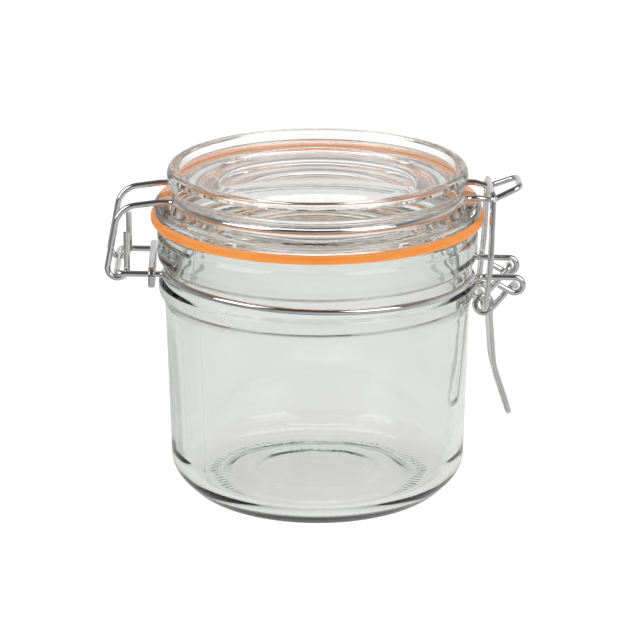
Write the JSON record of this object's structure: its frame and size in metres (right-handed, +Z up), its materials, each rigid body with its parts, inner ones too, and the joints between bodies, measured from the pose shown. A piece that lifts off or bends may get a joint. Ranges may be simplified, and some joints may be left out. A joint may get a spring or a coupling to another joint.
{
  "type": "bail clamp jar",
  "caption": "Squat clear glass storage jar with a hinged glass lid, an orange rubber seal and a bent-wire clamp with a fold-down lever.",
  "frame": {"origin": "on the jar's axis, in the plane of the ring that the jar stands on", "axes": "+Z up along the jar's axis, +X towards the clamp, -X towards the hinge; every piece is symmetric about Y = 0"},
  "size_m": [0.119, 0.0946, 0.096],
  "materials": {
    "jar_glass": "clear pressed glass, faint grey-green tint",
    "lid_glass": "clear pressed glass",
    "gasket_rubber": "smooth orange rubber",
    "plated_wire": "bright plated steel wire",
    "clip_steel": "stamped sheet steel, dull plated"
  },
  "bodies": {
    "jar": {"glass_jar": "jar_glass", "neck_wire": "plated_wire", "clip_plate": "clip_steel"},
    "lid_bail": {"lid_wire": "plated_wire"},
    "lid": {"glass_lid": "lid_glass", "rubber_gasket": "gasket_rubber"},
    "lever": {"clamp_lever": "plated_wire"},
    "link": {"clamp_link": "plated_wire"}
  },
  "joints": [
    {"name": "lid_hinge", "type": "hinge", "parent": "jar", "child": "lid_bail", "pos_m": [-0.0567, 0, 0.06788], "axis": [0, -1, 0], "range_deg": [0, 180]},
    {"name": "lid_turn", "type": "hinge", "parent": "lid_bail", "child": "lid", "pos_m": [0, 0, 0.08795], "axis": [0, 0, 1], "continuous": true},
    {"name": "lever_swing", "type": "hinge", "parent": "jar", "child": "lever", "pos_m": [0.0557, 0, 0.06269], "axis": [0, -1, 0], "range_deg": [0, 45]},
    {"name": "link_swing", "type": "hinge", "parent": "lever", "child": "link", "pos_m": [0.047, 0, 0.0561], "axis": [0, -1, 0], "range_deg": [-157.5, 0]}
  ],
  "couplings": [
    {"joint": "link_swing", "follows": "lever_swing", "ratio": -3.5}
  ]
}
